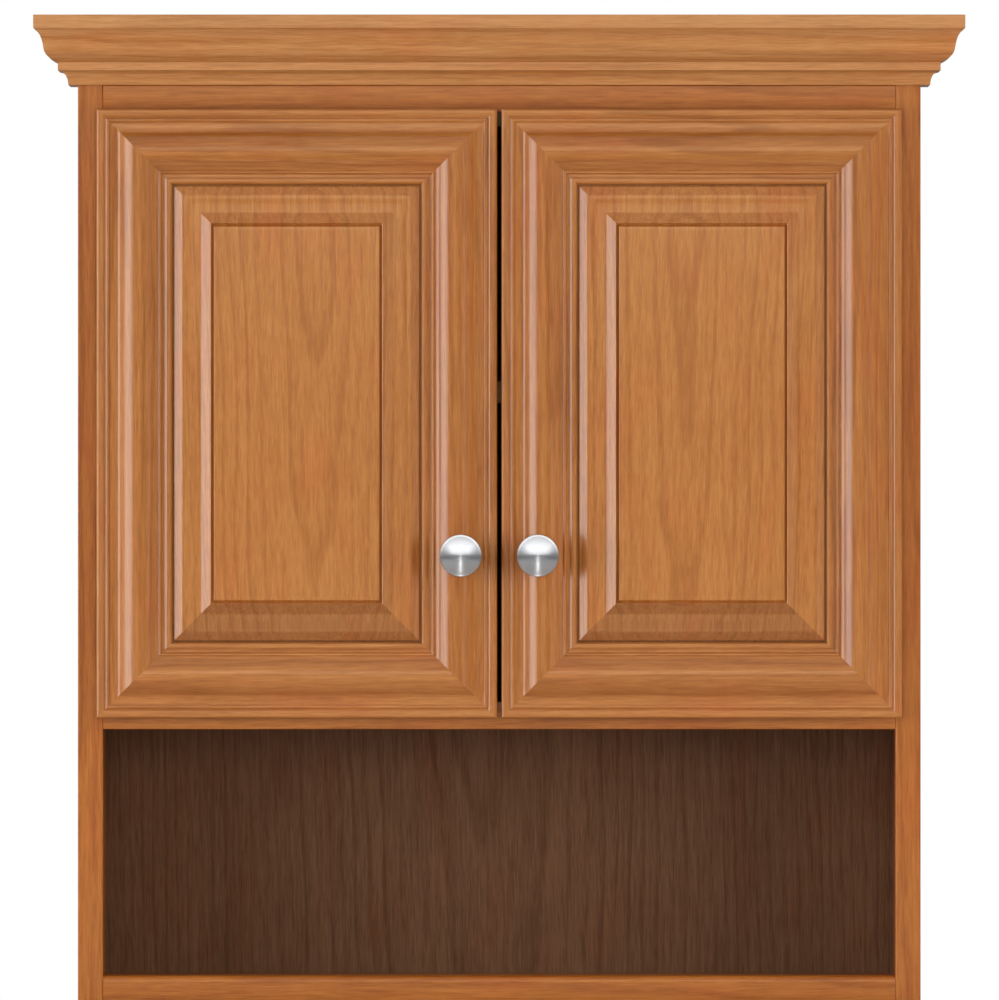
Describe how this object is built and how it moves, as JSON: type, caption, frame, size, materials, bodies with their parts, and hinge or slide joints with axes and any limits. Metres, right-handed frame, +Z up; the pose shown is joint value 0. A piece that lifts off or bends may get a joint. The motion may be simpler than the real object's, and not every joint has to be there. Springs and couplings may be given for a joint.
{
  "type": "over-toilet wall cabinet",
  "caption": "Wall-hung wooden cabinet with raised-panel doors on concealed hinges over an open niche, an adjustable shelf inside and a lift-off crown moulding.",
  "frame": {"origin": "centre of the case's wall face at its lower edge", "axes": "+X to the right seen from the front, +Y into the wall, +Z up; the doors face -Y"},
  "size_m": [0.7018, 0.238, 0.7427],
  "materials": {
    "case_cherry": "satin lacquered cherry, slightly redder than the doors",
    "strip_cherry": "satin lacquered solid cherry",
    "door_cherry": "satin lacquered solid cherry",
    "crown_cherry": "satin lacquered solid cherry",
    "dark_back": "dark brown stained wood grain, matt",
    "pale_wood": "bare wood",
    "satin_nickel": "satin nickel plate",
    "zinc": "bright zinc plate",
    "screws": "bright zinc plate",
    "magnets": "steel pole plates",
    "catch_plastic": "moulded brown plastic",
    "bumper_rubber": "soft, clear"
  },
  "bodies": {
    "case": {"left_side": "case_cherry", "right_side": "case_cherry", "top_panel": "case_cherry", "divider_panel": "case_cherry", "bottom_panel": "case_cherry", "left_side_strip": "strip_cherry", "right_side_strip": "strip_cherry", "top_strip": "strip_cherry", "divider_strip": "strip_cherry", "bottom_strip": "strip_cherry", "back_panel": "dark_back", "upper_hanging_rail": "pale_wood", "lower_hanging_rail": "pale_wood", "foot_rail": "pale_wood", "adjustable_shelf": "case_cherry", "shelf_strip": "strip_cherry", "shelf_pins": "zinc", "hinge_arms": "zinc", "hinge_arm_screws": "screws", "catch_housing": "catch_plastic", "catch_magnets": "magnets", "catch_screws": "screws"},
    "left_door": {"left_hinge_stile": "door_cherry", "left_lock_stile": "door_cherry", "left_door_top_rail": "door_cherry", "left_door_bottom_rail": "door_cherry", "left_raised_panel": "door_cherry", "left_mitre_splines": "pale_wood", "left_hinge_cups": "zinc", "left_cup_screws": "screws", "left_hinge_pins": "screws", "left_knob": "satin_nickel", "left_knob_screw": "screws", "left_strike_plate": "zinc", "left_strike_screw": "screws", "left_door_bumpers": "bumper_rubber"},
    "right_door": {"right_hinge_stile": "door_cherry", "right_lock_stile": "door_cherry", "right_door_top_rail": "door_cherry", "right_door_bottom_rail": "door_cherry", "right_raised_panel": "door_cherry", "right_mitre_splines": "pale_wood", "right_hinge_cups": "zinc", "right_cup_screws": "screws", "right_hinge_pins": "screws", "right_knob": "satin_nickel", "right_knob_screw": "screws", "right_strike_plate": "zinc", "right_strike_screw": "screws", "right_door_bumpers": "bumper_rubber"},
    "crown": {"crown_front": "crown_cherry", "crown_left_return": "crown_cherry", "crown_right_return": "crown_cherry", "crown_front_cleat": "pale_wood", "crown_side_cleats": "pale_wood", "crown_back_rail": "pale_wood", "crown_dowels": "pale_wood"}
  },
  "joints": [
    {"name": "left_door_hinge", "type": "hinge", "parent": "case", "child": "left_door", "pos_m": [-0.2955, -0.2005, 0.4424], "axis": [0, 0, -1], "range_deg": [0, 100]},
    {"name": "right_door_hinge", "type": "hinge", "parent": "case", "child": "right_door", "pos_m": [0.2955, -0.2005, 0.4424], "axis": [0, 0, 1], "range_deg": [0, 100]},
    {"name": "crown_lift", "type": "slide", "parent": "case", "child": "crown", "axis": [0, 0, 1], "range_m": [0, 0.012]}
  ]
}
